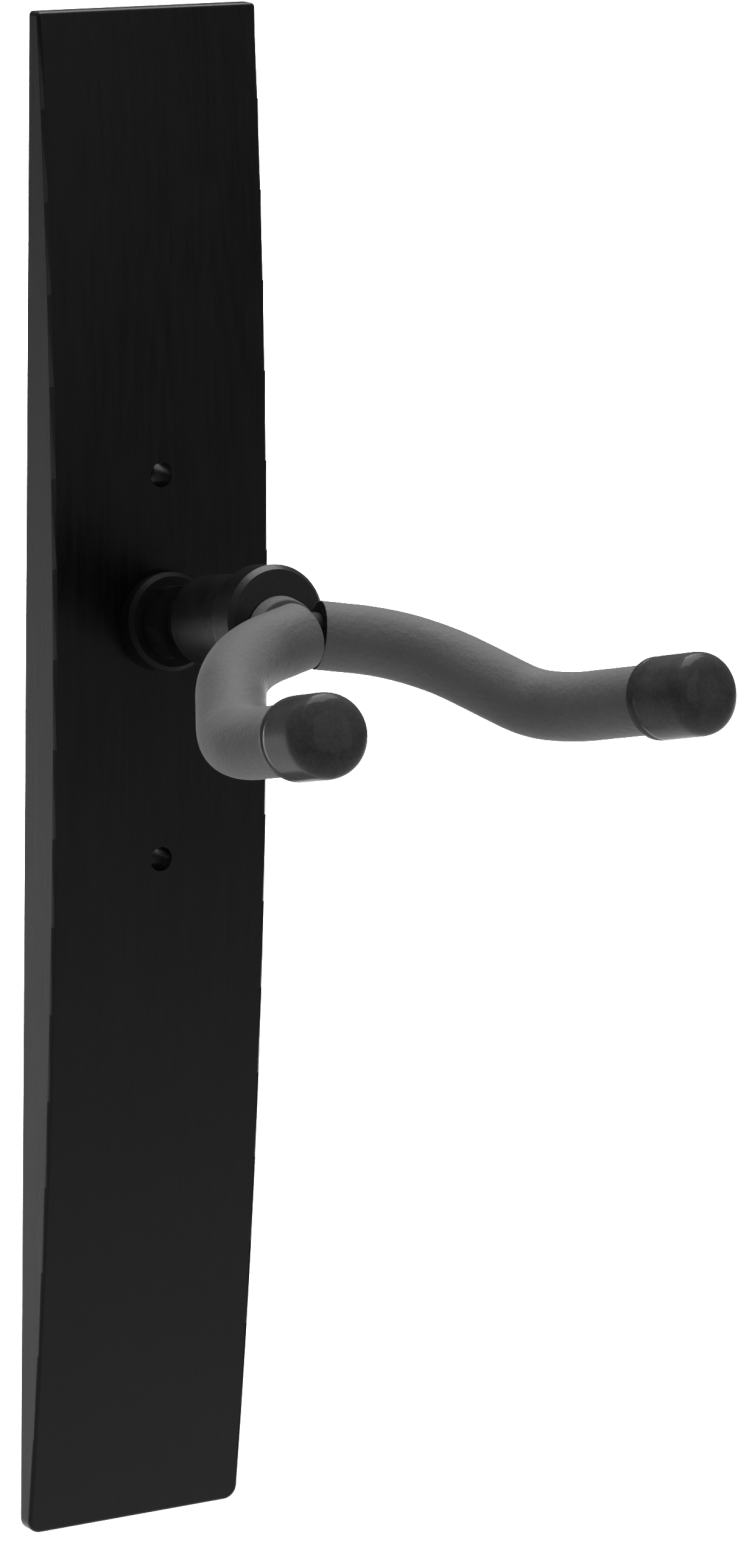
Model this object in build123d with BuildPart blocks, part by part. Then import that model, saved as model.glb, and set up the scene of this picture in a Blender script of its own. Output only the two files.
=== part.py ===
from build123d import *
from math import atan2, cos, pi, radians, sin, sqrt
import os

os.makedirs("parts", exist_ok=True)

# Wall guitar hanger. Millimetres, +Z up, wall plane at Y = 0, hanger standing out along -Y.
# Origin: middle of the back face of the tall bowed plate.

# ---- driving dimensions -------------------------------------------------------------
plate_w = 45.0            # width of the bowed plate
plate_h = 282.0           # height of the bowed plate
plate_end_t = 3.1         # thickness at the top and bottom ends
plate_bow = 7.7           # how far the front face bows out beyond the ends
plate_skin = 2.4          # moulded front wall
plate_foot_r = 2.6        # bottom corners
plate_head_r = 0.8        # top corners
plate_arris_r = 0.7       # rounding between the front face and the side faces

strap_w, strap_h, strap_t = 38.0, 230.0, 3.0
strap_gap = 0.15

hole_r = 2.25             # wall screw holes
hole_z = (57.5, -13.3)    # their heights
screw_x, screw_z = 12.0, 80.0   # cover screws, mirrored both ways

tilt = 10.0               # upward tilt of the swivel axis
axis_z = 30.7             # height where the swivel axis leaves the plate
axis_y = -(plate_end_t + plate_bow * (1 - (axis_z / (plate_h / 2)) ** 2))

thread_r = 4.0            # M8 end of the stud
neck_r = 5.0              # running diameter of the stud
head_r = 6.8              # head of the stud inside the barrel
run_gap = 0.05            # running clearance, radial and axial

socket_r = 7.0
washer_t = 1.6            # split spring washer under the nut
pad_w, pad_h, pad_t, pad_z = 36.0, 12.0, 1.2, 127.0   # foam pads in the plate's back
collar_r, collar_top = 9.0, 4.0
nut_af, nut_t = 13.0, 4.0
barrel_r, barrel_back, barrel_bore_r = 8.3, 16.5, 7.0
flange_r, flange_back, flange_front = 9.9, 34.2, 40.5
boss_r = 2.75             # pin that joins the flange to the bar
boot_back_r, boot_front_r, boot_front = 6.9, 6.15, 43.3   # rubber boot round the pin

rod_r = 4.0               # steel yoke rod
sleeve_r = 6.10           # rubber sleeve outside
sleeve_bore_r = 4.05
cap_r = 7.25              # end cap
cap_crown = 4.65          # cap centre to its outer end
cap_corner_r = 2.3        # rounding of the cap's outer edge
cap_dome_r = 30.0         # slight crown of the cap's end face
cap_back = 9.6            # cap rim to cap centre

# corners of the yoke's centre line on the right side: across, up, along the swivel axis
yoke_a = (0.0, -2.45, 49.4)
yoke_b = (18.8, -6.0, 54.4)
yoke_c = (30.6, -17.5, 73.0)
yoke_d = (33.4, -18.4, 81.8)
yoke_tip = (37.2, -16.35, 113.1)     # centre of the end cap
bend_a, bend_b, bend_c, bend_d = 5.6, 28.0, 17.5, 40.0
sleeve_gap = 1.97         # middle of the bar to the cut end of each sleeve

ca, sa = cos(radians(tilt)), sin(radians(tilt))
AX = Plane(origin=(0, axis_y, axis_z), x_dir=(1, 0, 0), z_dir=(0, -ca, sa))


def at(p):
    """A point given across, up and along the swivel axis, in the hanger's own frame."""
    return AX.from_local_coords(Vector(*p))


half_w, half_h = plate_w / 2, plate_h / 2

# ---- bowed plate: outer shape ---------------------------------------------------------
with BuildPart() as outer:
    with BuildSketch(Plane.YZ):
        with BuildLine():
            Line((0, -half_h), (0, half_h))
            Line((0, half_h), (-plate_end_t, half_h))
            ThreePointArc((-plate_end_t, half_h), (-plate_end_t - plate_bow, 0), (-plate_end_t, -half_h))
            Line((-plate_end_t, -half_h), (0, -half_h))
        make_face()
    extrude(amount=half_w, both=True)
    corner = outer.edges().filter_by(Axis.Y).group_by(Axis.Z)
    fillet(corner[0], radius=plate_foot_r)
    fillet(outer.edges().filter_by(Axis.Y).group_by(Axis.Z)[-1], radius=plate_head_r)
    front = outer.faces().filter_by(GeomType.CYLINDER).sort_by(SortBy.AREA)[-1]
    fillet(front.edges(), radius=plate_arris_r)

# ---- bowed plate: moulded shell, open at the back for the strap ------------------------
with BuildPart() as hollow:
    with BuildSketch(Plane.YZ):
        with BuildLine():
            Line((-strap_t, -100), (-strap_t, 100))
            Line((-strap_t, 100), (-4.5, 100))
            ThreePointArc((-4.5, 100), (-(plate_end_t + plate_bow - plate_skin), 0), (-4.5, -100))
            Line((-4.5, -100), (-strap_t, -100))
        make_face()
    extrude(amount=17.0, both=True)
    # cross ribs and a middle rib, left standing in the hollow
    with BuildSketch(Plane.XZ):
        for z in (-64, -46, -30, 4, 72, 90, -90):
            with Locations((0, z)):
                Rectangle(40, 1.8)
        with Locations((0, -55), (0, 77)):
            Rectangle(1.8, 60)
    extrude(amount=20, both=True, mode=Mode.SUBTRACT)
    # spacer bosses for the wall screws, bosses for the cover screws
    with BuildSketch(Plane.XZ):
        for z in hole_z:
            with Locations((0, z)):
                Circle(5.0)
        for x in (-screw_x, screw_x):
            for z in (-screw_z, screw_z):
                with Locations((x, z)):
                    Circle(4.0)
    extrude(amount=20, both=True, mode=Mode.SUBTRACT)
    # ring wall round the stud socket
    with BuildSketch(AX.offset(-14)):
        Circle(9.8)
    extrude(amount=30, mode=Mode.SUBTRACT)

with BuildPart() as backplate:
    add(outer.part)
    with BuildSketch(Plane.XZ):
        RectangleRounded(strap_w + 2 * strap_gap, strap_h + 2 * strap_gap, 3.0 + strap_gap)
    extrude(amount=strap_t + 0.05, mode=Mode.SUBTRACT)
    add(hollow.part, mode=Mode.SUBTRACT)
    with BuildSketch(Plane.XZ):
        with Locations((0, pad_z), (0, -pad_z)):
            RectangleRounded(pad_w + 0.2, pad_h + 0.2, 2.1)
    extrude(amount=pad_t + 0.02, mode=Mode.SUBTRACT)
    with BuildSketch(Plane.XZ):
        for z in hole_z:
            with Locations((0, z)):
                Circle(hole_r)
    extrude(amount=20, mode=Mode.SUBTRACT)
    with BuildSketch(Plane.XZ):
        for x in (-screw_x, screw_x):
            for z in (-screw_z, screw_z):
                with Locations((x, z)):
                    Circle(1.5)
    extrude(amount=7.0, mode=Mode.SUBTRACT)
    with BuildSketch(AX.offset(-14)):
        Circle(socket_r + 0.3)
    extrude(amount=30, mode=Mode.SUBTRACT)
backplate.part.label = "backplate"
export_step(backplate.part, "parts/backplate.step")

# ---- two foam pads let into the plate's back ------------------------------------------------
with BuildPart() as pads:
    with BuildSketch(Plane.XZ):
        with Locations((0, pad_z), (0, -pad_z)):
            RectangleRounded(pad_w, pad_h, 2.0)
    extrude(amount=pad_t)
pads.part.label = "wall_pads"
export_step(pads.part, "parts/wall_pads.step")

# ---- steel strap behind the plate ------------------------------------------------------
with BuildPart() as strap:
    with BuildSketch(Plane.XZ):
        RectangleRounded(strap_w, strap_h, 3.0)
        for z in hole_z:
            with Locations((0, z)):
                Circle(hole_r, mode=Mode.SUBTRACT)
    extrude(amount=strap_t)
    for x in (-screw_x, screw_x):
        for z in (-screw_z, screw_z):
            with BuildSketch(Plane(origin=(x, 0, z), x_dir=(1, 0, 0), z_dir=(0, -1, 0))):
                Circle(3.1)
            with BuildSketch(Plane(origin=(x, -1.7, z), x_dir=(1, 0, 0), z_dir=(0, -1, 0))):
                Circle(1.6)
            loft(mode=Mode.SUBTRACT)
            with BuildSketch(Plane(origin=(x, 0, z), x_dir=(1, 0, 0), z_dir=(0, -1, 0))):
                Circle(1.6)
            extrude(amount=4, mode=Mode.SUBTRACT)
strap.part.label = "mounting_strap"
export_step(strap.part, "parts/mounting_strap.step")

# ---- four countersunk screws that hold the plate on the strap ---------------------------
with BuildPart() as screw:
    with BuildSketch(Plane.XY):
        with BuildLine():
            Polyline((0, -0.15), (2.85, -0.15), (1.48, -1.75), (1.48, -6.2), (0.9, -6.8), (0, -6.8), (0, -0.15))
        make_face()
    revolve(axis=Axis.Y)
    # cross recess
    with BuildSketch(Plane.XZ):
        Rectangle(3.0, 0.62)
        Rectangle(0.62, 3.0)
    extrude(amount=1.25, mode=Mode.SUBTRACT)
with BuildPart() as screws:
    with Locations([(x, 0, z) for x in (-screw_x, screw_x) for z in (-screw_z, screw_z)]):
        add(screw.part)
screws.part.label = "cover_screws"
export_step(screws.part, "parts/cover_screws.step")

# ---- threaded socket welded on the strap at the tilt of the swivel ------------------------
with BuildPart() as socket:
    with BuildSketch(AX.offset(-12)):
        Circle(socket_r)
        Circle(thread_r + 0.02, mode=Mode.SUBTRACT)
    extrude(amount=12 - 1.5)
    with BuildSketch(Plane.XZ):
        Rectangle(60, 120)
    extrude(amount=strap_t, mode=Mode.SUBTRACT)
    with BuildSketch(Plane.XZ):
        Rectangle(60, 120)
    extrude(amount=-20, mode=Mode.SUBTRACT)
socket.part.label = "stud_socket"
export_step(socket.part, "parts/stud_socket.step")

# ---- wedge collar between the bowed face and the nut --------------------------------------
with BuildPart() as collar:
    with BuildSketch(AX.offset(-4)):
        Circle(collar_r)
    extrude(amount=4 + collar_top)
    rim = collar.edges().filter_by(GeomType.CIRCLE).sort_by(Axis.Y)[0]
    chamfer(rim, length=0.8)
    add(outer.part, mode=Mode.SUBTRACT)
    with BuildSketch(AX.offset(-6)):
        Circle(thread_r + 0.1)
    extrude(amount=20, mode=Mode.SUBTRACT)
collar.part.label = "base_collar"
export_step(collar.part, "parts/base_collar.step")

# ---- split spring washer --------------------------------------------------------------------
with BuildPart() as washer:
    with BuildSketch(AX.offset(collar_top)):
        Circle(6.6)
        Circle(thread_r + 0.15, mode=Mode.SUBTRACT)
        with Locations((5.4, 0)):
            Rectangle(3.4, 0.9, rotation=18, mode=Mode.SUBTRACT)
    extrude(amount=washer_t)
washer.part.label = "spring_washer"
export_step(washer.part, "parts/spring_washer.step")

# ---- thin hex nut that locks the stud ------------------------------------------------------
nut_back = collar_top + washer_t
with BuildPart() as nut:
    with BuildSketch(AX.offset(nut_back)):
        RegularPolygon(nut_af / 2, 6, major_radius=False)
    extrude(amount=nut_t)
    # corners turned off on both faces
    with BuildSketch(AX.offset(nut_back)):
        Circle(nut_af / 2 * 1.12)
    extrude(amount=nut_t, mode=Mode.INTERSECT)
    with BuildSketch(AX.offset(nut_back)):
        Circle(thread_r + 0.05)
    extrude(amount=nut_t, mode=Mode.SUBTRACT)
nut.part.label = "lock_nut"
export_step(nut.part, "parts/lock_nut.step")

# ---- swivel stud -----------------------------------------------------------------------------
nut_top = nut_back + nut_t
head_back, head_front = 34.0, 37.0
with BuildPart() as stud:
    with BuildSketch(AX.offset(-6.6)):
        Circle(thread_r)
    extrude(amount=6.6 + nut_top)
    with BuildSketch(AX.offset(nut_top)):
        Circle(neck_r)
    extrude(amount=head_back - nut_top)
    with BuildSketch(AX.offset(head_back)):
        Circle(head_r)
    extrude(amount=head_front - head_back)
stud.part.label = "swivel_stud"
export_step(stud.part, "parts/swivel_stud.step")

# ---- yoke rod: one steel bar bent into a dropped wishbone --------------------------------------
right_pts = [at(p) for p in (yoke_a, yoke_b, yoke_c, yoke_d, yoke_tip)]
tip_dir = (right_pts[4] - right_pts[3]).normalized()
rod_end = right_pts[4] + tip_dir * 1.4
mir = lambda v: Vector(-v.X, v.Y, v.Z)
rod_pts = [mir(rod_end), mir(right_pts[3]), mir(right_pts[2]), mir(right_pts[1]), right_pts[0],
           right_pts[1], right_pts[2], right_pts[3], rod_end]
with BuildPart() as rod:
    with BuildLine() as rod_line:
        FilletPolyline(*rod_pts, radius=[bend_d, bend_c, bend_b, bend_a, bend_b, bend_c, bend_d])
    with BuildSketch(Plane(origin=rod_line.line @ 0, z_dir=rod_line.line % 0)):
        Circle(rod_r)
    sweep()
    ends = rod.faces().filter_by(GeomType.PLANE)
    chamfer(ends.edges(), length=0.6)
rod.part.label = "yoke_rod"
export_step(rod.part, "parts/yoke_rod.step")

# ---- rubber sleeves -------------------------------------------------------------------------------
first_dir = (right_pts[1] - right_pts[0]).normalized()
sleeve_start = right_pts[0] + first_dir * sleeve_gap
sleeve_end = right_pts[4] - tip_dir * 5.0
sleeve_pts = [sleeve_start, right_pts[1], right_pts[2], right_pts[3], sleeve_end]
with BuildPart() as sleeve:
    with BuildLine() as sleeve_line:
        FilletPolyline(*sleeve_pts, radius=[bend_b, bend_c, bend_d])
    with BuildSketch(Plane(origin=sleeve_line.line @ 0, z_dir=sleeve_line.line % 0)):
        Circle(sleeve_r)
        Circle(sleeve_bore_r, mode=Mode.SUBTRACT)
    sweep()
    # the two sleeves press flat against each other at the front of the bar
    split(bisect_by=Plane.YZ.offset(0.02), keep=Keep.TOP)
sleeve.part.label = "right_sleeve"
export_step(sleeve.part, "parts/right_sleeve.step")

with BuildPart() as left_sleeve:
    add(sleeve.part)
    mirror(about=Plane.YZ, mode=Mode.REPLACE)
left_sleeve.part.label = "left_sleeve"
export_step(left_sleeve.part, "parts/left_sleeve.step")

# ---- end caps: push-on, rounded edge, slightly crowned end ----------------------------------------
corner_in = cap_r - cap_corner_r
crown_drop = sqrt((cap_dome_r - cap_corner_r) ** 2 - corner_in ** 2)
corner_up = cap_crown - cap_dome_r + crown_drop
turn = atan2(crown_drop, corner_in)
crown_mid = (turn + pi / 2) / 2
side = Vector(1, 0, 0).cross(tip_dir).normalized()
cap_plane = Plane(origin=right_pts[4], x_dir=side, z_dir=side.cross(tip_dir))
with BuildPart() as cap:
    with BuildSketch(cap_plane):
        with BuildLine():
            Polyline((0, 1.55), (sleeve_bore_r, 1.55), (sleeve_bore_r, -4.95), (sleeve_r + 0.05, -4.95),
                     (sleeve_r + 0.05, -cap_back), (sleeve_r + 0.35, -cap_back))
            ThreePointArc((sleeve_r + 0.35, -cap_back), (cap_r - 0.34, -cap_back + 0.82), (cap_r, -cap_back + 2.0))
            Line((cap_r, -cap_back + 2.0), (cap_r, corner_up))
            ThreePointArc((cap_r, corner_up),
                          (corner_in + cap_corner_r * cos(turn / 2), corner_up + cap_corner_r * sin(turn / 2)),
                          (corner_in + cap_corner_r * cos(turn), corner_up + cap_corner_r * sin(turn)))
            ThreePointArc((corner_in + cap_corner_r * cos(turn), corner_up + cap_corner_r * sin(turn)),
                          (cap_dome_r * cos(crown_mid), cap_crown - cap_dome_r + cap_dome_r * sin(crown_mid)),
                          (0, cap_crown))
            Line((0, cap_crown), (0, 1.55))
        make_face()
    revolve(axis=Axis(right_pts[4], cap_plane.y_dir))
cap.part.label = "right_end_cap"
export_step(cap.part, "parts/right_end_cap.step")

with BuildPart() as left_cap:
    add(cap.part)
    mirror(about=Plane.YZ, mode=Mode.REPLACE)
left_cap.part.label = "left_end_cap"
export_step(left_cap.part, "parts/left_end_cap.step")

# ---- swivel barrel with its flange, coped and welded to the rod ------------------------------------
with BuildPart() as barrel:
    with BuildSketch(AX.offset(barrel_back)):
        Circle(barrel_r)
    extrude(amount=flange_back + 1 - barrel_back)
    with BuildSketch(AX.offset(flange_back)):
        Circle(flange_r)
    extrude(amount=flange_front - flange_back)
    rims = barrel.edges().filter_by(GeomType.CIRCLE).sort_by(Axis.Y)
    chamfer(rims[0], length=0.9)
    chamfer(barrel.edges().filter_by(GeomType.CIRCLE).sort_by(Axis.Y)[-1], length=0.6)
    with BuildSketch(AX.offset(flange_front - 1)):
        with Locations((0, yoke_a[1])):
            Circle(boss_r)
    extrude(amount=yoke_a[2] - 0.9 - flange_front + 1)
    with BuildSketch(AX.offset(barrel_back - 1)):
        Circle(barrel_bore_r)
    extrude(amount=37.6 - barrel_back + 1, mode=Mode.SUBTRACT)
    with BuildSketch(AX.offset(17.0)):
        Circle(7.6)
    extrude(amount=1.0, mode=Mode.SUBTRACT)
    add(rod.part, mode=Mode.SUBTRACT)
barrel.part.label = "swivel_barrel"
export_step(barrel.part, "parts/swivel_barrel.step")

# ---- rubber boot round the pin between the flange and the bar ---------------------------------------
with BuildPart() as boot:
    with BuildSketch(AX.offset(flange_front + 0.02)):
        with Locations((0, yoke_a[1])):
            Circle(boot_back_r)
    with BuildSketch(AX.offset(boot_front)):
        with Locations((0, yoke_a[1])):
            Circle(boot_front_r)
    loft()
    fillet(boot.edges().filter_by(GeomType.CIRCLE), radius=0.45)
    with BuildSketch(AX.offset(flange_front - 1)):
        with Locations((0, yoke_a[1])):
            Circle(boss_r + 0.03)
    extrude(amount=6, mode=Mode.SUBTRACT)
boot.part.label = "yoke_boot"
export_step(boot.part, "parts/yoke_boot.step")

# ---- bush, thrust washer, thrust pad and retaining ring inside the barrel ---------------------------
with BuildPart() as bush:
    with BuildSketch(AX.offset(18.05)):
        Circle(barrel_bore_r - 0.02)
        Circle(neck_r + run_gap, mode=Mode.SUBTRACT)
    extrude(amount=33.2 - 18.05)
bush.part.label = "swivel_bush"
export_step(bush.part, "parts/swivel_bush.step")

with BuildPart() as thrust:
    with BuildSketch(AX.offset(33.2)):
        Circle(6.6)
        Circle(neck_r + run_gap, mode=Mode.SUBTRACT)
    extrude(amount=0.75)
thrust.part.label = "thrust_washer"
export_step(thrust.part, "parts/thrust_washer.step")

with BuildPart() as button:
    with BuildSketch(AX.offset(head_front + run_gap)):
        Circle(6.0)
    extrude(amount=0.55)
button.part.label = "thrust_pad"
export_step(button.part, "parts/thrust_pad.step")

with BuildPart() as circlip:
    with BuildSketch(AX.offset(17.05)):
        Circle(7.5)
        Circle(5.9, mode=Mode.SUBTRACT)
        with Locations((0, -7)):
            Rectangle(3.0, 4.0, mode=Mode.SUBTRACT)
    extrude(amount=0.9)
circlip.part.label = "retaining_ring"
export_step(circlip.part, "parts/retaining_ring.step")
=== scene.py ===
import bpy, bmesh, math
from mathutils import Vector, Matrix, noise


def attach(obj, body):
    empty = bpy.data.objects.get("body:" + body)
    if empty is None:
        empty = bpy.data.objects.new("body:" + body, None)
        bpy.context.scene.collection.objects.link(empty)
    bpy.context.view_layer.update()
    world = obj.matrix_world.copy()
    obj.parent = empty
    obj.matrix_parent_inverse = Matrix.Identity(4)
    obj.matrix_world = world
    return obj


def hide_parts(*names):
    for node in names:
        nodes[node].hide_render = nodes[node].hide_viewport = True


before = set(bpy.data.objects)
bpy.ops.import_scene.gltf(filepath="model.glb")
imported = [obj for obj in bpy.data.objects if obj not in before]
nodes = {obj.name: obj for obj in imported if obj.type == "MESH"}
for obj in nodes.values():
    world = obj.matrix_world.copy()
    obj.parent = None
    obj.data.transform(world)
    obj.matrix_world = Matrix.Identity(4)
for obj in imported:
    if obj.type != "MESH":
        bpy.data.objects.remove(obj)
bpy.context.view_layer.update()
MM = 0.001

# ------------------------------------------------------------------ geometry shared with the CAD (mm)
plate_h, plate_end_t, plate_bow = 282.0, 3.1, 7.7
tilt = math.radians(10.0)
axis_z = 30.7
axis_y = -(plate_end_t + plate_bow * (1 - (axis_z / (plate_h / 2)) ** 2))
CA, SA = math.cos(tilt), math.sin(tilt)
AX_O = Vector((0, axis_y, axis_z))
AX_X, AX_Y, AX_Z = Vector((1, 0, 0)), Vector((0, SA, CA)), Vector((0, -CA, SA))


def at(p):
    return AX_O + AX_X * p[0] + AX_Y * p[1] + AX_Z * p[2]


yoke = [(0.0, -2.45, 49.4), (18.8, -6.0, 54.4), (30.6, -17.5, 73.0), (33.4, -18.4, 81.8), (37.2, -16.35, 113.1)]
bends = {1: 28.0, 2: 17.5, 3: 40.0}
sleeve_gap, boss_r = 1.97, 2.75
sleeve_r, bore_r = 6.10, 4.08
cap_r, cap_back = 7.25, 9.6

P = [at(p) for p in yoke]
first_dir = (P[1] - P[0]).normalized()
tip_dir = (P[4] - P[3]).normalized()


def rounded_path(pts, radii, step):
    out = [pts[0]]
    for i in range(1, len(pts) - 1):
        a, b, c = pts[i - 1], pts[i], pts[i + 1]
        u, v = (a - b).normalized(), (c - b).normalized()
        ang = u.angle(v)
        t = radii[i - 1] / math.tan(ang / 2)
        centre = b + (u + v).normalized() * (radii[i - 1] / math.sin(ang / 2))
        s, e = b + u * t, b + v * t
        n = max(2, int((s - out[-1]).length / step))
        p0 = out[-1]
        out += [p0.lerp(s, k / n) for k in range(1, n + 1)]
        sweep = math.pi - ang
        ax = (s - centre).cross(e - centre).normalized()
        n = max(6, int(radii[i - 1] * sweep / step))
        for k in range(1, n + 1):
            out.append(centre + Matrix.Rotation(sweep * k / n, 3, ax) @ (s - centre))
    n = max(2, int((pts[-1] - out[-1]).length / step))
    p0 = out[-1]
    out += [p0.lerp(pts[-1], k / n) for k in range(1, n + 1)]
    return out


def frames(path):
    """Tangent and two normals at each point, carried along without twist."""
    tan = []
    for i in range(len(path)):
        a, b = path[max(0, i - 1)], path[min(len(path) - 1, i + 1)]
        tan.append((b - a).normalized())
    n = tan[0].orthogonal().normalized()
    n = (AX_Y - tan[0] * AX_Y.dot(tan[0])).normalized()
    res = []
    for t in tan:
        n = (n - t * n.dot(t)).normalized()
        res.append((t, n, t.cross(n)))
    return res


def new_object(name, bm, smooth=True):
    me = bpy.data.meshes.new(name)
    bmesh.ops.recalc_face_normals(bm, faces=bm.faces)
    bm.to_mesh(me)
    bm.free()
    for p in me.polygons:
        p.use_smooth = smooth
    ob = bpy.data.objects.new(name, me)
    bpy.context.scene.collection.objects.link(ob)
    return ob


def skin(bm, rings, closed_loop=False):
    """Quads between successive rings of vertices."""
    n = len(rings[0])
    pairs = list(zip(rings, rings[1:])) + ([(rings[-1], rings[0])] if closed_loop else [])
    for a, b in pairs:
        for k in range(n):
            bm.faces.new((a[k], a[(k + 1) % n], b[(k + 1) % n], b[k]))


# ------------------------------------------------------------------ materials
def nt(name):
    m = bpy.data.materials.new(name)
    m.use_nodes = True
    t = m.node_tree
    return m, t, t.nodes["Principled BSDF"], t.nodes, t.links


def ramp(t, fac, lo, hi, p0=0.3, p1=0.7):
    r = t.nodes.new("ShaderNodeValToRGB")
    r.color_ramp.elements[0].position, r.color_ramp.elements[1].position = p0, p1
    r.color_ramp.elements[0].color = (*lo, 1)
    r.color_ramp.elements[1].color = (*hi, 1)
    t.links.new(fac, r.inputs["Fac"])
    return r.outputs["Color"]


def noise_tex(t, coord, scale, detail=3.0, rough=0.55, stretch=None):
    src = coord
    if stretch:
        mp = t.nodes.new("ShaderNodeMapping")
        mp.inputs["Scale"].default_value = stretch
        t.links.new(coord, mp.inputs["Vector"])
        src = mp.outputs["Vector"]
    n = t.nodes.new("ShaderNodeTexNoise")
    n.inputs["Scale"].default_value = scale
    n.inputs["Detail"].default_value = detail
    n.inputs["Roughness"].default_value = rough
    t.links.new(src, n.inputs["Vector"])
    return n.outputs["Fac"]


def map_range(t, fac, lo, hi, f0=0.3, f1=0.7):
    m = t.nodes.new("ShaderNodeMapRange")
    m.inputs["From Min"].default_value, m.inputs["From Max"].default_value = f0, f1
    m.inputs["To Min"].default_value, m.inputs["To Max"].default_value = lo, hi
    t.links.new(fac, m.inputs["Value"])
    return m.outputs["Result"]


def bump(t, b, heights):
    """Chains bump nodes: [(height socket, strength, distance in m)]."""
    prev = None
    for h, s, d in heights:
        n = t.nodes.new("ShaderNodeBump")
        n.inputs["Strength"].default_value = s
        n.inputs["Distance"].default_value = d
        t.links.new(h, n.inputs["Height"])
        if prev is not None:
            t.links.new(prev, n.inputs["Normal"])
        prev = n.outputs["Normal"]
    t.links.new(prev, b.inputs["Normal"])


def coord(t):
    return t.nodes.new("ShaderNodeTexCoord").outputs["Object"]


def voronoi(t, c, scale, feature="F1"):
    v = t.nodes.new("ShaderNodeTexVoronoi")
    v.feature = feature
    v.inputs["Scale"].default_value = scale
    t.links.new(c, v.inputs["Vector"])
    return v.outputs["Distance"]


def plastic(name, lo, hi, r0, r1, grain, spec=0.3, grain_strength=0.25, coat=0.0):
    """Moulded plastic: fine grain drawn along the height, faint clouds and handling shine."""
    m, t, b, N, L = nt(name)
    c = coord(t)
    cloud = noise_tex(t, c, 38, 4, 0.6)
    streak = noise_tex(t, c, 900, 4, 0.6, (1.0, 1.0, 0.045))
    mixed = N.new("ShaderNodeMix")
    mixed.data_type = "FLOAT"
    mixed.inputs[0].default_value = 0.55
    L.new(cloud, mixed.inputs[2])
    L.new(streak, mixed.inputs[3])
    L.new(ramp(t, mixed.outputs[0], lo, hi, 0.36, 0.64), b.inputs["Base Color"])
    smear = noise_tex(t, c, 90, 5, 0.65, (1.0, 1.0, 0.35))
    rmix = N.new("ShaderNodeMix")
    rmix.data_type = "FLOAT"
    rmix.inputs[0].default_value = 0.5
    L.new(smear, rmix.inputs[2])
    L.new(streak, rmix.inputs[3])
    L.new(map_range(t, rmix.outputs[0], r0, r1, 0.38, 0.62), b.inputs["Roughness"])
    fine = noise_tex(t, c, grain, 2, 0.5)
    bump(t, b, [(streak, grain_strength, 0.00006), (fine, grain_strength * 0.6, 0.00004)])
    b.inputs["Specular IOR Level"].default_value = spec
    b.inputs["Coat Weight"].default_value = coat
    b.inputs["Coat Roughness"].default_value = 0.2
    return m


def rubber_foam(name, lo, hi):
    """Matte skinned foam rubber: closed pores, fine pits and specks."""
    m, t, b, N, L = nt(name)
    c = coord(t)
    cloud = noise_tex(t, c, 70, 4, 0.6)
    speck = noise_tex(t, c, 2400, 2, 0.6)
    mix = N.new("ShaderNodeMix")
    mix.data_type = "FLOAT"
    mix.inputs[0].default_value = 0.35
    L.new(cloud, mix.inputs[2])
    L.new(speck, mix.inputs[3])
    L.new(ramp(t, mix.outputs[0], lo, hi, 0.32, 0.68), b.inputs["Base Color"])
    L.new(map_range(t, cloud, 0.62, 0.8), b.inputs["Roughness"])
    pores = voronoi(t, c, 1900)
    grain = noise_tex(t, c, 3600, 2, 0.6)
    pits = voronoi(t, c, 820)
    bump(t, b, [(pits, 0.30, 0.00022), (pores, 0.34, 0.00010), (grain, 0.22, 0.00005)])
    b.inputs["Specular IOR Level"].default_value = 0.33
    b.inputs["Sheen Weight"].default_value = 0.12
    b.inputs["Sheen Roughness"].default_value = 0.4
    return m


def cap_rubber(name):
    """Semi-gloss moulded vinyl rubber: fine mould polish marks and a little dust in the skin."""
    m, t, b, N, L = nt(name)
    c = coord(t)
    cloud = noise_tex(t, c, 160, 5, 0.62)
    dust = noise_tex(t, c, 1500, 3, 0.7)
    mixed = N.new("ShaderNodeMix")
    mixed.data_type = "FLOAT"
    mixed.inputs[0].default_value = 0.4
    L.new(cloud, mixed.inputs[2])
    L.new(dust, mixed.inputs[3])
    L.new(ramp(t, mixed.outputs[0], (0.025, 0.025, 0.0255), (0.056, 0.056, 0.0565), 0.34, 0.66), b.inputs["Base Color"])
    L.new(map_range(t, cloud, 0.40, 0.52), b.inputs["Roughness"])
    fine = noise_tex(t, c, 1300, 3, 0.55)
    soft = noise_tex(t, c, 260, 2, 0.5)
    bump(t, b, [(soft, 0.10, 0.0002), (fine, 0.16, 0.00005)])
    b.inputs["Specular IOR Level"].default_value = 0.06
    b.inputs["Coat Weight"].default_value = 0.16
    b.inputs["Coat Roughness"].default_value = 0.10
    return m


def painted(name, lo, hi, r0, r1, spec=0.35, peel=0.25):
    """Powder-coated metal: orange peel with patchy roughness."""
    m, t, b, N, L = nt(name)
    c = coord(t)
    cloud = noise_tex(t, c, 120, 4, 0.6)
    L.new(ramp(t, cloud, lo, hi), b.inputs["Base Color"])
    L.new(map_range(t, noise_tex(t, c, 300, 4, 0.6), r0, r1), b.inputs["Roughness"])
    orange = noise_tex(t, c, 1100, 1.5, 0.4)
    fine = noise_tex(t, c, 4200, 2, 0.5)
    bump(t, b, [(orange, peel, 0.00012), (fine, 0.12, 0.00003)])
    b.inputs["Specular IOR Level"].default_value = spec
    return m


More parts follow.
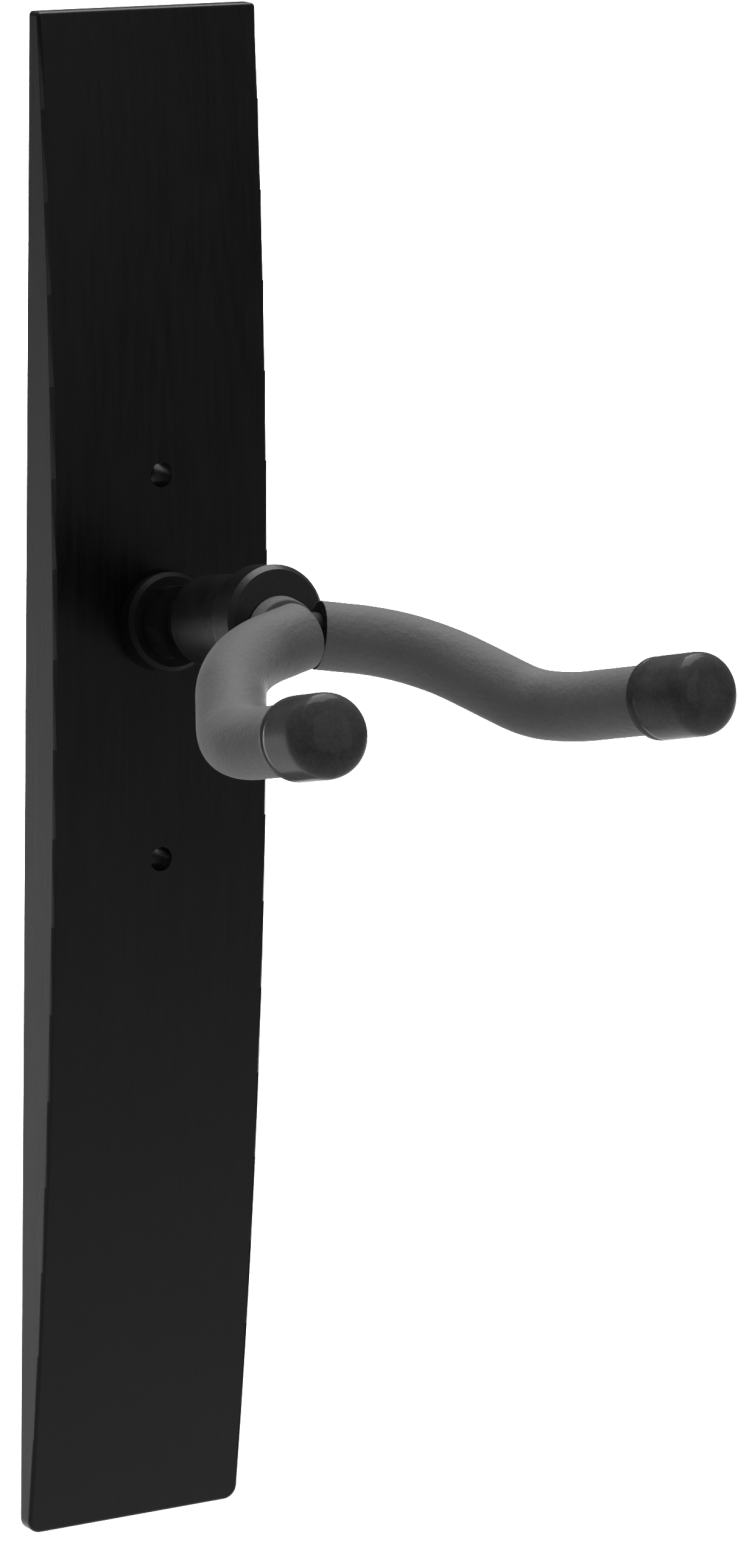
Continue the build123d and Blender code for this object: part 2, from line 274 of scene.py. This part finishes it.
def zinc(name, stretch=(1, 1, 1)):
    """Bright zinc plate: drawn streaks and cloudy spangle."""
    m, t, b, N, L = nt(name)
    c = coord(t)
    cloud = noise_tex(t, c, 240, 4, 0.6)
    L.new(ramp(t, cloud, (0.42, 0.43, 0.46), (0.62, 0.63, 0.66)), b.inputs["Base Color"])
    streak = noise_tex(t, c, 900, 3, 0.6, stretch)
    L.new(map_range(t, streak, 0.24, 0.42), b.inputs["Roughness"])
    bump(t, b, [(streak, 0.18, 0.00005)])
    b.inputs["Metallic"].default_value = 1.0
    return m


def nylon(name):
    m, t, b, N, L = nt(name)
    c = coord(t)
    L.new(ramp(t, noise_tex(t, c, 180, 4, 0.6), (0.62, 0.6, 0.53), (0.74, 0.72, 0.66)), b.inputs["Base Color"])
    L.new(map_range(t, noise_tex(t, c, 500, 3, 0.6), 0.35, 0.55), b.inputs["Roughness"])
    bump(t, b, [(noise_tex(t, c, 1500, 2, 0.5, (1, 0.2, 1)), 0.2, 0.00005)])
    b.inputs["Subsurface Weight"].default_value = 0.1
    b.inputs["Subsurface Radius"].default_value = (0.001, 0.001, 0.0008)
    return m


def foam(name, lo=0.03, hi=0.075):
    m, t, b, N, L = nt(name)
    c = coord(t)
    cells = voronoi(t, c, 1300)
    L.new(ramp(t, cells, (lo, lo, lo), (hi, hi, hi), 0.1, 0.6), b.inputs["Base Color"])
    b.inputs["Specular IOR Level"].default_value = 0.1
    L.new(map_range(t, noise_tex(t, c, 600, 3, 0.6), 0.8, 0.95), b.inputs["Roughness"])
    bump(t, b, [(cells, 0.7, 0.0003), (noise_tex(t, c, 2600, 2, 0.6), 0.3, 0.0001)])
    return m


def weld_metal(name):
    m, t, b, N, L = nt(name)
    c = coord(t)
    L.new(ramp(t, noise_tex(t, c, 400, 4, 0.6), (0.004, 0.004, 0.0042), (0.009, 0.009, 0.0094)), b.inputs["Base Color"])
    L.new(map_range(t, noise_tex(t, c, 700, 4, 0.6), 0.35, 0.6), b.inputs["Roughness"])
    bump(t, b, [(noise_tex(t, c, 1400, 3, 0.6), 0.35, 0.00015)])
    b.inputs["Specular IOR Level"].default_value = 0.2
    return m


M_PLATE = plastic("plate_black_plastic", (0.0012, 0.0012, 0.0012), (0.0027, 0.0027, 0.0028), 0.24, 0.34, 1700, spec=0.22)
M_STRAP = painted("strap_powder_coat", (0.003, 0.003, 0.0031), (0.006, 0.006, 0.0063), 0.5, 0.65, spec=0.1)
M_BLACKED = painted("blacked_fastener_steel", (0.002, 0.002, 0.0021), (0.0045, 0.0045, 0.0047), 0.5, 0.62, spec=0.12, peel=0.12)
M_PAINT = painted("satin_black_paint", (0.003, 0.003, 0.0032), (0.006, 0.006, 0.0063), 0.30, 0.42, spec=0.36, peel=0.18)
M_ZINC = zinc("zinc_plate")
M_NYLON = nylon("natural_nylon")
M_SLEEVE = rubber_foam("sleeve_foam_rubber", (0.076, 0.076, 0.077), (0.112, 0.112, 0.113))
# cut face colour: open-cell foam darkened well past the skin, painted shade for the gap between the sleeves
M_CUT_FACE_SHADE = foam("sleeve_cut_face_painted_shade", 0.004, 0.010)
M_CAP = cap_rubber("end_cap_rubber")
M_PAD = foam("pad_foam")
M_WELD = weld_metal("painted_weld")


def dress(node, mat):
    o = nodes[node]
    o.data.materials.clear()
    o.data.materials.append(mat)


for n_, m_ in {
    "backplate": M_PLATE, "mounting_strap": M_STRAP, "stud_socket": M_STRAP, "base_collar": M_BLACKED,
    "lock_nut": M_BLACKED, "spring_washer": M_BLACKED, "yoke_boot": M_SLEEVE, "swivel_stud": M_BLACKED, "swivel_barrel": M_PAINT,
    "swivel_bush": M_NYLON, "thrust_pad": M_NYLON, "thrust_washer": M_ZINC, "retaining_ring": M_ZINC,
    "yoke_rod": M_BLACKED, "cover_screws": M_ZINC, "wall_pads": M_PAD,
    "left_sleeve": M_SLEEVE, "right_sleeve": M_SLEEVE, "left_end_cap": M_CAP, "right_end_cap": M_CAP,
}.items():
    dress(n_, m_)


# ------------------------------------------------------------------ rubber sleeves
def make_sleeve(name, side):
    start = P[0] + first_dir * sleeve_gap
    end = P[4] - tip_dir * 5.0
    path = rounded_path([start, P[1], P[2], P[3], end], [bends[1], bends[2], bends[3]], 0.75)
    fr = frames(path)
    seg = 72
    bm = bmesh.new()
    rings = []

    # cumulative length, for the end rounding
    s = [0.0]
    for a, b in zip(path, path[1:]):
        s.append(s[-1] + (b - a).length)
    total = s[-1]

    def ring(i, r, shift=0.0, rough=True):
        t, n, c = fr[i]
        o = path[i] + t * shift
        vs = []
        for k in range(seg):
            a = 2 * math.pi * k / seg
            d = n * math.cos(a) + c * math.sin(a)
            rr = r
            if rough:
                q = o + d * r
                rr += 0.035 * noise.noise(q * 0.11) + 0.018 * noise.noise(q * 0.45)
            v = (o + d * rr) * MM
            # pressed flat where the two sleeves meet in the middle
            vs.append(bm.verts.new((max(v.x, 0.00002) * side, v.y, v.z)))
        return vs

    # cut end, edge softened, then the body, then the end that sits in the cap
    lip = 0.14
    rings.append(ring(0, bore_r, 0.0, False))
    rings.append(ring(0, bore_r + 0.25, -0.02, False))
    rings.append(ring(0, sleeve_r - lip, 0.0, False))
    for k in range(1, 6):
        a = math.pi / 2 * k / 5
        rings.append(ring(0, sleeve_r - lip + lip * math.sin(a), lip * (1 - math.cos(a)), k > 2))
    for i in range(1, len(path)):
        if s[i] < lip + 0.2:
            continue
        rings.append(ring(i, sleeve_r))
    rings.append(ring(len(path) - 1, sleeve_r - 0.5, 0.0, False))
    rings.append(ring(len(path) - 1, bore_r, 0.0, False))
    for i in range(len(path) - 6, 2, -6):
        rings.append(ring(i, bore_r, 0.0, False))
    skin(bm, rings, closed_loop=True)
    # the first two bands are the cut end: open cells, and far darker than the skin as painted shade for the gap where
    # the sleeves meet
    bm.faces.ensure_lookup_table()
    for f in bm.faces[:2 * seg]:
        f.material_index = 1
    o = new_object(name, bm)
    o.data.materials.append(M_SLEEVE)
    o.data.materials.append(M_CUT_FACE_SHADE)
    return o


# ------------------------------------------------------------------ rounded end caps
def make_cap(name, side):
    t = tip_dir
    n = Vector((1, 0, 0)).cross(t).normalized()
    c = t.cross(n)
    R = cap_r
    prof = []

    def arc(cx, cy, r, a0, a1, k):
        for i in range(k + 1):
            a = math.radians(a0 + (a1 - a0) * i / k)
            prof.append((cx + r * math.cos(a), cy + r * math.sin(a)))

    # (radius, along): inside of the mouth, rolled lip, faint groove behind the lip, wall, dome
    prof += [(bore_r, -4.9), (sleeve_r + 0.05, -4.95), (sleeve_r + 0.06, -8.0), (sleeve_r + 0.06, -cap_back + 0.35)]
    arc(R - 0.42, -cap_back + 0.42, 0.42, 225, 360, 9)
    prof += [(R, -cap_back + 0.8), (R, -cap_back + 1.35), (R - 0.07, -cap_back + 1.5), (R - 0.12, -cap_back + 1.65),
             (R - 0.07, -cap_back + 1.8), (R, -cap_back + 1.95)]
    wall = 0.75
    for k in range(1, 9):
        prof.append((R, -cap_back + 1.95 + (cap_back - 1.95 + wall) * k / 9))
    top, e = 4.35, 3.0
    for k in range(0, 41):
        a = math.pi / 2 * k / 40
        cr, sr = max(0.0, math.cos(a)) ** (2 / e), math.sin(a) ** (2 / e)
        prof.append((R * cr, wall + top * sr))
    seg = 96
    bm = bmesh.new()
    rings = []
    for r, z in prof[:-1]:
        vs = []
        for k in range(seg):
            a = 2 * math.pi * k / seg
            # mould parting line: a hair-thin ridge on two opposite meridians
            ridge = 0.028 * math.exp(-((math.sin(a) * R) / 0.16) ** 2) if r > R * 0.35 and z > -cap_back + 0.3 else 0.0
            d = n * math.cos(a) + c * math.sin(a)
            q = P[4] + t * z + d * (r + ridge)
            v = q * MM
            vs.append(bm.verts.new((v.x * side, v.y, v.z)))
        rings.append(vs)
    skin(bm, rings)
    tip = (P[4] + t * prof[-1][1]) * MM
    tv = bm.verts.new((tip.x * side, tip.y, tip.z))
    for k in range(seg):
        bm.faces.new((rings[-1][k], rings[-1][(k + 1) % seg], tv))
    # close the inside of the mouth round the bar
    bv = rings[0]
    ctr = (P[4] + t * 1.4) * MM
    inner = []
    for k in range(seg):
        a = 2 * math.pi * k / seg
        d = n * math.cos(a) + c * math.sin(a)
        q = (P[4] + t * 1.5 + d * bore_r) * MM
        inner.append(bm.verts.new((q.x * side, q.y, q.z)))
    skin(bm, [inner, bv])
    cv = bm.verts.new(((P[4] + t * 1.5) * MM).to_tuple() if side > 0 else (-(P[4] + t * 1.5).x * MM, (P[4] + t * 1.5).y * MM, (P[4] + t * 1.5).z * MM))
    for k in range(seg):
        bm.faces.new((inner[k], inner[(k + 1) % seg], cv))
    o = new_object(name, bm)
    o.data.materials.append(M_CAP)
    return o


for side, lr in ((1, "right"), (-1, "left")):
    sl = make_sleeve(f"{lr}_foam_sleeve", side)
    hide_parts(f"{lr}_sleeve")
    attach(sl, "yoke")
    cp = make_cap(f"{lr}_bulb_cap", side)
    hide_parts(f"{lr}_end_cap")
    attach(cp, "yoke")


# ------------------------------------------------------------------ weld bead between the flange boss and the bar
def make_weld():
    bm = bmesh.new()
    seg, sec = 96, 14
    rings = []
    for k in range(seg):
        a = 2 * math.pi * k / seg
        d = AX_X * math.cos(a) + AX_Y * math.sin(a)
        ripple = 0.09 * math.sin(a * 22) + 0.07 * noise.noise(Vector((math.cos(a) * 2, math.sin(a) * 2, 3.1)))
        # the bar curves away sideways, so the bead follows its back surface
        x, y = (boss_r - 0.1) * math.cos(a), (boss_r - 0.1) * math.sin(a)
        s = yoke[0][2] - math.sqrt(max(0.0, 16.0 - y * y)) + 0.02 * x * x
        o = at((x, yoke[0][1] + y, s - 0.3))
        r = 0.66 + ripple
        vs = []
        for j in range(sec):
            b = 2 * math.pi * j / sec
            q = o + d * (r * math.cos(b)) + AX_Z * (r * math.sin(b))
            vs.append(bm.verts.new(q * MM))
        rings.append(vs)
    skin(bm, rings, closed_loop=True)
    o = new_object("bar_weld_bead", bm)
    o.data.materials.append(M_WELD)
    return o


wb = make_weld()
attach(wb, "yoke")

# ------------------------------------------------------------------ floor, light, camera
floor_z = -0.42
bm = bmesh.new()
N_ = 40
grid = [[bm.verts.new((-14 + 28 * i / N_, -8 + 28 * j / N_, floor_z)) for i in range(N_ + 1)] for j in range(N_ + 1)]
for j in range(N_):
    for i in range(N_):
        bm.faces.new((grid[j][i], grid[j][i + 1], grid[j + 1][i + 1], grid[j + 1][i]))
floor = new_object("studio_floor", bm)
m, t, b, N, L = nt("pale_floor")
c = coord(t)
L.new(ramp(t, noise_tex(t, c, 3, 3, 0.5), (0.90, 0.90, 0.90), (0.92, 0.92, 0.92)), b.inputs["Base Color"])
b.inputs["Roughness"].default_value = 0.9
b.inputs["Specular IOR Level"].default_value = 0.1
floor.data.materials.append(m)

world = bpy.data.worlds.new("studio")
bpy.context.scene.world = world
world.use_nodes = True
wn = world.node_tree
bg = wn.nodes["Background"]
tc = wn.nodes.new("ShaderNodeTexCoord")
sep = wn.nodes.new("ShaderNodeSeparateXYZ")
wn.links.new(tc.outputs["Generated"], sep.inputs[0])
wr = wn.nodes.new("ShaderNodeValToRGB")
wr.color_ramp.elements[0].position, wr.color_ramp.elements[1].position = 0.05, 0.9
wr.color_ramp.elements[0].color = (0.26, 0.26, 0.26, 1)
wr.color_ramp.elements[1].color = (1.0, 1.0, 1.0, 1)
wn.links.new(sep.outputs["Z"], wr.inputs["Fac"])
wn.links.new(wr.outputs["Color"], bg.inputs["Color"])
bg.inputs["Strength"].default_value = 0.45


def area(name, loc, look, size, size_y, power, spread=180):
    d = bpy.data.lights.new(name, "AREA")
    d.shape, d.size, d.size_y, d.energy = "RECTANGLE", size, size_y, power
    d.spread = math.radians(spread)
    o = bpy.data.objects.new(name, d)
    bpy.context.scene.collection.objects.link(o)
    o.location = loc
    o.rotation_mode = "QUATERNION"
    o.rotation_quaternion = (Vector(look) - Vector(loc)).to_track_quat("-Z", "Y")
    return o


area("top_softbox", (0.16, 0.06, 0.85), (0.0, -0.08, 0.0), 0.7, 0.7, 8.8)
area("left_softbox", (-1.5, -0.5, 0.35), (0.0, -0.05, 0.0), 0.8, 1.4, 0.25)
area("front_softbox", (0.35, -1.5, 0.55), (0.0, -0.1, 0.0), 0.9, 0.9, 2.4)
area("floor_wash", (1.95, 2.9, 2.6), (1.9, 2.8, floor_z), 2.0, 2.2, 340, 98)

# the camera: long lens, a little left of centre and above
az, el, roll = math.radians(-32.493), math.radians(12.175), math.radians(0.955)
back = Vector((math.sin(az) * math.cos(el), -math.cos(az) * math.cos(el), math.sin(el)))
right = (-back).cross(Vector((0, 0, 1))).normalized()
up = right.cross(-back)
rr = right * math.cos(roll) + up * math.sin(roll)
uu = up * math.cos(roll) - right * math.sin(roll)
cam_d = bpy.data.cameras.new("camera")
cam = bpy.data.objects.new("camera", cam_d)
bpy.context.scene.collection.objects.link(cam)
loc = Vector((0.05178, 0.0, -0.00659)) + back * 1.2622
mw = Matrix((rr, uu, back)).transposed().to_4x4()
mw.translation = loc
cam.matrix_world = mw
cam_d.sensor_width = 36.0
cam_d.lens = 11063.5 / 2576.0 * 36.0
cam_d.clip_start, cam_d.clip_end = 0.05, 60.0
bpy.context.scene.camera = cam
bpy.context.scene.view_settings.view_transform = "Standard"
